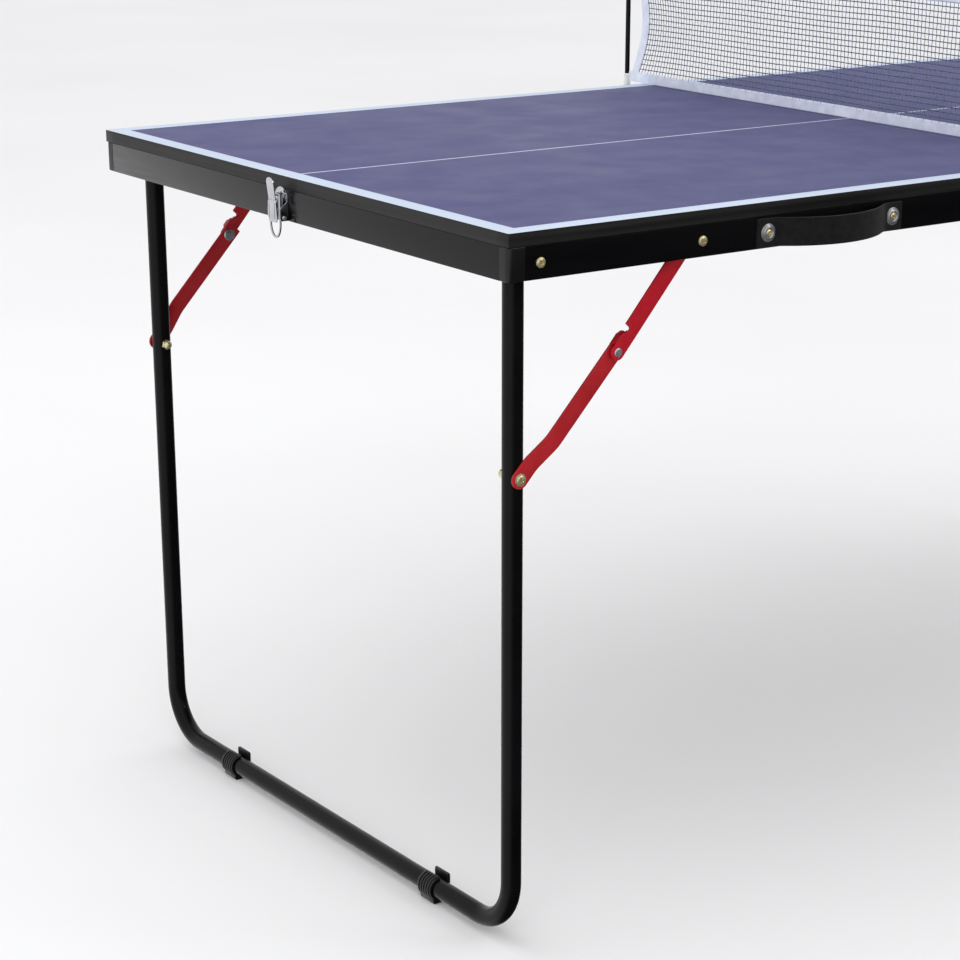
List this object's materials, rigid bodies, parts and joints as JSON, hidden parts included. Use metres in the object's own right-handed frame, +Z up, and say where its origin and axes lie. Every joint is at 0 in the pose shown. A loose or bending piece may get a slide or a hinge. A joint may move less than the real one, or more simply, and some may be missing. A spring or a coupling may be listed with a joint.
{
  "type": "folding table tennis table",
  "caption": "Folding mid-size table tennis table with framed half tops, braced folding leg frames and a lift-off net.",
  "frame": {"origin": "on the floor under the middle of the playing top", "axes": "+X along the length with the latch at the -X end, +Y across the width away from the carry handle, +Z up"},
  "size_m": [1.5212, 0.826, 0.874],
  "materials": {
    "table_top": "matt purple-blue laminate on board with white lines",
    "rail_laminate": "satin black laminate",
    "black_plastic": "fine-grained moulded plastic",
    "zinc_yellow": "yellow zinc plate",
    "grey_steel": "dull zinc plate",
    "tube_paint": "glossy black powder coat",
    "red_paint": "red enamel",
    "bright_steel": "bright zinc plate",
    "chrome": "polished",
    "webbing": "woven nylon webbing",
    "net_mesh": "knotted mesh",
    "net_tape": "woven tape",
    "white_plastic": "moulded"
  },
  "bodies": {
    "left_half": {"left_panel": "table_top", "left_near_rail": "rail_laminate", "left_far_rail": "rail_laminate", "left_end_rail": "rail_laminate", "left_inner_rail": "rail_laminate", "left_corner_blocks": "black_plastic", "left_leg_pivot_bolts": "zinc_yellow", "left_leg_pivot_nuts": "zinc_yellow", "left_leg_pivot_bushes": "grey_steel", "left_brace_rail_bolts": "zinc_yellow", "left_brace_rail_washers": "grey_steel", "left_joint_pins": "grey_steel", "handle_strap": "webbing", "handle_washers": "grey_steel", "handle_screws": "zinc_yellow", "latch_base": "chrome", "latch_pin": "bright_steel", "latch_screws": "bright_steel"},
    "left_legs": {"left_leg_frame": "tube_paint", "left_foot_clips": "black_plastic", "left_brace_leg_bolts": "zinc_yellow", "left_brace_leg_nuts": "zinc_yellow"},
    "left_braces_upper": {"left_upper_arms": "red_paint", "left_knee_rivets": "bright_steel"},
    "left_braces_lower": {"left_lower_arms": "red_paint", "left_knee_rivet_tails": "bright_steel"},
    "middle_links": {"joint_links": "grey_steel", "net_brackets": "tube_paint"},
    "right_half": {"right_panel": "table_top", "right_near_rail": "rail_laminate", "right_far_rail": "rail_laminate", "right_end_rail": "rail_laminate", "right_inner_rail": "rail_laminate", "right_corner_blocks": "black_plastic", "right_leg_pivot_bolts": "zinc_yellow", "right_leg_pivot_nuts": "zinc_yellow", "right_leg_pivot_bushes": "grey_steel", "right_brace_rail_bolts": "zinc_yellow", "right_brace_rail_washers": "grey_steel", "right_joint_pins": "grey_steel", "latch_keeper": "chrome", "keeper_screws": "bright_steel"},
    "right_legs": {"right_leg_frame": "tube_paint", "right_foot_clips": "black_plastic", "right_brace_leg_bolts": "zinc_yellow", "right_brace_leg_nuts": "zinc_yellow"},
    "right_braces_upper": {"right_upper_arms": "red_paint", "right_knee_rivets": "bright_steel"},
    "right_braces_lower": {"right_lower_arms": "red_paint", "right_knee_rivet_tails": "bright_steel"},
    "net": {"net_posts": "tube_paint", "post_sleeves": "white_plastic", "net_mesh": "net_mesh", "net_top_tape": "net_tape", "net_bottom_tape": "net_tape", "net_side_hems": "net_tape"},
    "latch_lever": {"latch_lever": "chrome"},
    "latch_loop": {"latch_loop": "chrome"}
  },
  "joints": [
    {"name": "middle_joint_left", "type": "hinge", "parent": "left_half", "child": "middle_links", "pos_m": [-0.014, 0, 0.684], "axis": [0, 1, 0], "range_deg": [0, 90]},
    {"name": "middle_joint_right", "type": "hinge", "parent": "middle_links", "child": "right_half", "pos_m": [0.014, 0, 0.684], "axis": [0, 1, 0], "range_deg": [0, 90]},
    {"name": "left_leg_fold", "type": "hinge", "parent": "left_half", "child": "left_legs", "pos_m": [-0.715, 0, 0.687], "axis": [0, -1, 0], "range_deg": [0, 90]},
    {"name": "left_upper_brace", "type": "hinge", "parent": "left_half", "child": "left_braces_upper", "pos_m": [-0.529, 0, 0.687], "axis": [0, 1, 0], "range_deg": [0, 48.15]},
    {"name": "left_lower_brace", "type": "hinge", "parent": "left_legs", "child": "left_braces_lower", "pos_m": [-0.715, 0, 0.481], "axis": [0, -1, 0], "range_deg": [0, 44.02]},
    {"name": "right_leg_fold", "type": "hinge", "parent": "right_half", "child": "right_legs", "pos_m": [0.715, 0, 0.687], "axis": [0, 1, 0], "range_deg": [0, 90]},
    {"name": "right_upper_brace", "type": "hinge", "parent": "right_half", "child": "right_braces_upper", "pos_m": [0.529, 0, 0.687], "axis": [0, -1, 0], "range_deg": [0, 48.15]},
    {"name": "right_lower_brace", "type": "hinge", "parent": "right_legs", "child": "right_braces_lower", "pos_m": [0.715, 0, 0.481], "axis": [0, 1, 0], "range_deg": [0, 44.02]},
    {"name": "net_lift", "type": "slide", "parent": "middle_links", "child": "net", "axis": [0, 0, 1], "range_m": [0, 0.25]},
    {"name": "latch_lever_swing", "type": "hinge", "parent": "left_half", "child": "latch_lever", "pos_m": [-0.755, 0, 0.6755], "axis": [0, -1, 0], "range_deg": [0, 100]},
    {"name": "latch_loop_swing", "type": "hinge", "parent": "latch_lever", "child": "latch_loop", "pos_m": [-0.758, 0, 0.698], "axis": [0, 1, 0], "range_deg": [0, 160]}
  ],
  "couplings": [
    {"joint": "left_upper_brace", "follows": "left_leg_fold", "ratio": 0.53445},
    {"joint": "left_lower_brace", "follows": "left_leg_fold", "ratio": 0.48852},
    {"joint": "right_upper_brace", "follows": "right_leg_fold", "ratio": 0.53445},
    {"joint": "right_lower_brace", "follows": "right_leg_fold", "ratio": 0.48852},
    {"joint": "latch_loop_swing", "follows": "latch_lever_swing", "ratio": 1.6}
  ]
}
